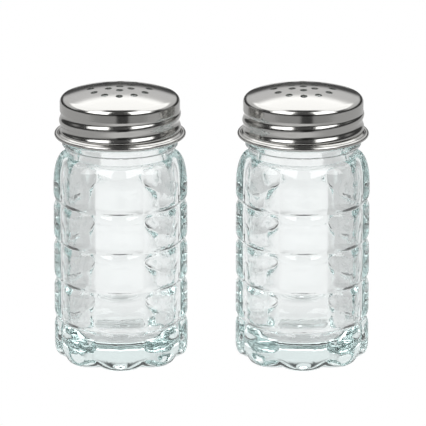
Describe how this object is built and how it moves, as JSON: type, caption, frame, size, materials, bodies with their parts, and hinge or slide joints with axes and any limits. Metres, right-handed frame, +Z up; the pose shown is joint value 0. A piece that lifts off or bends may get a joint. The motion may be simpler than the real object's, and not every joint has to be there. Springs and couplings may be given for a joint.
{
  "type": "salt and pepper shakers",
  "caption": "Pair of clear pressed-glass table shakers with a brick pattern and domed, perforated steel screw caps, standing side by side.",
  "frame": {"origin": "on the table top, midway between the two jars' axes", "axes": "+X from the salt shaker to the pepper shaker, +Y away from the viewer, towards the back, +Z up the jars"},
  "size_m": [0.1124, 0.0476, 0.0987],
  "materials": {
    "clear_glass": "smooth, gloss",
    "steel": "polished"
  },
  "bodies": {
    "salt_shaker": {"salt_jar": "clear_glass"},
    "salt_top": {"salt_cap": "steel"},
    "pepper_shaker": {"pepper_jar": "clear_glass"},
    "pepper_top": {"pepper_cap": "steel"}
  },
  "joints": [
    {"name": "salt_cap_lift", "type": "slide", "parent": "salt_shaker", "child": "salt_top", "axis": [0, 0, 1], "range_m": [0, 0.03]},
    {"name": "pepper_jar_lift", "type": "slide", "parent": "salt_shaker", "child": "pepper_shaker", "axis": [0, 0, 1], "range_m": [0, 0.12]},
    {"name": "pepper_cap_lift", "type": "slide", "parent": "pepper_shaker", "child": "pepper_top", "axis": [0, 0, 1], "range_m": [0, 0.03]}
  ]
}
